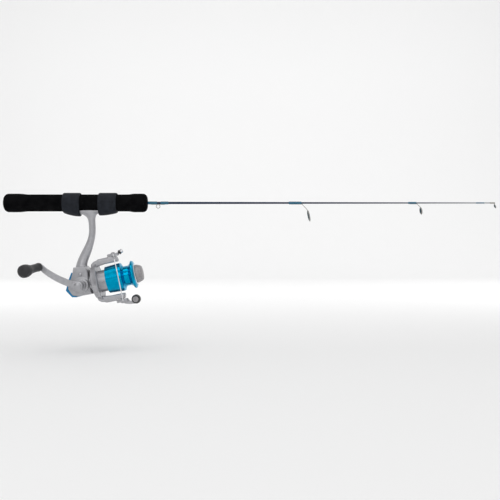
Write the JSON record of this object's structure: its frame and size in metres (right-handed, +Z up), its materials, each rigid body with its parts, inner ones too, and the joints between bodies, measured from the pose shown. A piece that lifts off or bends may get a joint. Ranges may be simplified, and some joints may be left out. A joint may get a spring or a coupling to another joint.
{
  "type": "ice fishing rod",
  "caption": "Short ice fishing rod with foam grip, line guides and a small spinning reel that winds by a side handle.",
  "frame": {"origin": "centre of the grip's butt end face, on the rod's axis", "axes": "+X along the rod to the tip, +Z up, the reel hangs below and its handle is on -Y"},
  "size_m": [0.6097, 0.1078, 0.1377],
  "materials": {
    "blank_finish": "clear-coated dark blue composite",
    "foam": "closed-cell foam, matt",
    "band_rubber": "matt rubber",
    "thread": "teal thread under lacquer",
    "wire": "bright drawn wire",
    "ring_ceramic": "polished dark ceramic",
    "silver_plastic": "satin silver paint on moulded plastic",
    "blue_cover": "blue paint",
    "spool_blue": "blue anodised",
    "drag_grey": "satin grey paint",
    "bright_trim": "polished",
    "screw_steel": "plated",
    "black_plastic": "matt black",
    "knob_rubber": "soft black rubber",
    "gear_metal": "die-cast zinc",
    "brass": "turned",
    "felt": "oiled felt",
    "nylon": "natural nylon"
  },
  "bodies": {
    "root": {"rod_blank": "blank_finish", "grip": "foam", "keeper_wrap_rear": "thread", "keeper_wrap_front": "thread", "hook_keeper": "wire", "guide_1_frame": "wire", "guide_1_ring": "ring_ceramic", "guide_1_wrap": "thread", "guide_2_frame": "wire", "guide_2_ring": "ring_ceramic", "guide_2_wrap": "thread", "tip_wrap": "thread", "tip_top_frame": "wire", "tip_ring": "ring_ceramic", "reel_body": "silver_plastic", "side_cover": "silver_plastic", "case_screws": "screw_steel", "rear_cover": "blue_cover", "oil_port_plug": "silver_plastic", "bush_inner": "nylon", "bush_outer": "nylon", "pinion_bearing": "wire", "slider_guide_rod": "wire"},
    "rear_band": {"reel_band_rear": "band_rubber"},
    "front_band": {"reel_band_front": "band_rubber"},
    "crank": {"drive_gear": "gear_metal", "drive_shaft": "screw_steel", "handle_arm": "silver_plastic", "handle_screw": "silver_plastic", "knob_post": "bright_trim"},
    "knob": {"handle_knob": "knob_rubber"},
    "rotor": {"rotor": "silver_plastic", "rotor_arm_covers": "silver_plastic", "rotor_screw": "screw_steel", "rotor_nut": "brass", "pinion": "brass", "ratchet_wheel": "screw_steel", "bail_pivot_screws": "screw_steel", "bail_spring": "wire"},
    "pawl": {"anti_reverse_pawl": "screw_steel"},
    "bail": {"bail_wire": "bright_trim", "bail_lever_upper": "silver_plastic", "bail_lever_lower": "silver_plastic", "bail_pad": "black_plastic", "bail_pad_screw": "drag_grey", "roller_cap": "bright_trim"},
    "roller": {"line_roller": "black_plastic"},
    "spindle": {"main_shaft": "wire", "oscillation_slider": "gear_metal", "slider_screw": "screw_steel", "click_wheel": "nylon"},
    "spool": {"spool": "spool_blue", "spool_trim_ring": "bright_trim", "click_pawl": "nylon", "drag_felt_washers": "felt", "drag_steel_washers": "screw_steel", "drag_retaining_clip": "wire"},
    "drag": {"drag_knob": "drag_grey", "drag_nut": "brass", "drag_spring_washer": "screw_steel"}
  },
  "joints": [
    {"name": "rear_band_slide", "type": "slide", "parent": "root", "child": "rear_band", "axis": [1, 0, 0], "range_m": [-0.02, 0]},
    {"name": "front_band_slide", "type": "slide", "parent": "root", "child": "front_band", "axis": [1, 0, 0], "range_m": [0, 0.0155]},
    {"name": "crank_turn", "type": "hinge", "parent": "root", "child": "crank", "pos_m": [0.098, 0, -0.1018], "axis": [0, 1, 0], "continuous": true},
    {"name": "knob_spin", "type": "hinge", "parent": "crank", "child": "knob", "pos_m": [0.05746, -0.0466, -0.07802], "axis": [-0.2688, -0.9534, -0.1373], "continuous": true},
    {"name": "rotor_turn", "type": "hinge", "parent": "root", "child": "rotor", "pos_m": [0.098, 0, -0.1018], "axis": [0.9781, 0, 0.2079], "continuous": true},
    {"name": "pawl_rock", "type": "hinge", "parent": "root", "child": "pawl", "pos_m": [0.11784, 0, -0.10857], "axis": [0.9781, 0, 0.2079], "range_deg": [0, 6]},
    {"name": "bail_flip", "type": "hinge", "parent": "rotor", "child": "bail", "pos_m": [0.14055, 0, -0.09276], "axis": [-0.2079, 0, 0.9781], "range_deg": [0, 125]},
    {"name": "roller_spin", "type": "hinge", "parent": "bail", "child": "roller", "pos_m": [0.13945, -0.002, -0.06355], "axis": [0.809, 0, 0.5878], "continuous": true},
    {"name": "spool_stroke", "type": "slide", "parent": "root", "child": "spindle", "axis": [0.9781, 0, 0.2079], "range_m": [-0.003, 0.003]},
    {"name": "spool_spin", "type": "hinge", "parent": "spindle", "child": "spool", "pos_m": [0.098, 0, -0.1018], "axis": [0.9781, 0, 0.2079], "continuous": true},
    {"name": "drag_turn", "type": "hinge", "parent": "spindle", "child": "drag", "pos_m": [0.098, 0, -0.1018], "axis": [0.9781, 0, 0.2079], "range_deg": [-720, 180]}
  ],
  "couplings": [
    {"joint": "rotor_turn", "follows": "crank_turn", "ratio": 4}
  ]
}
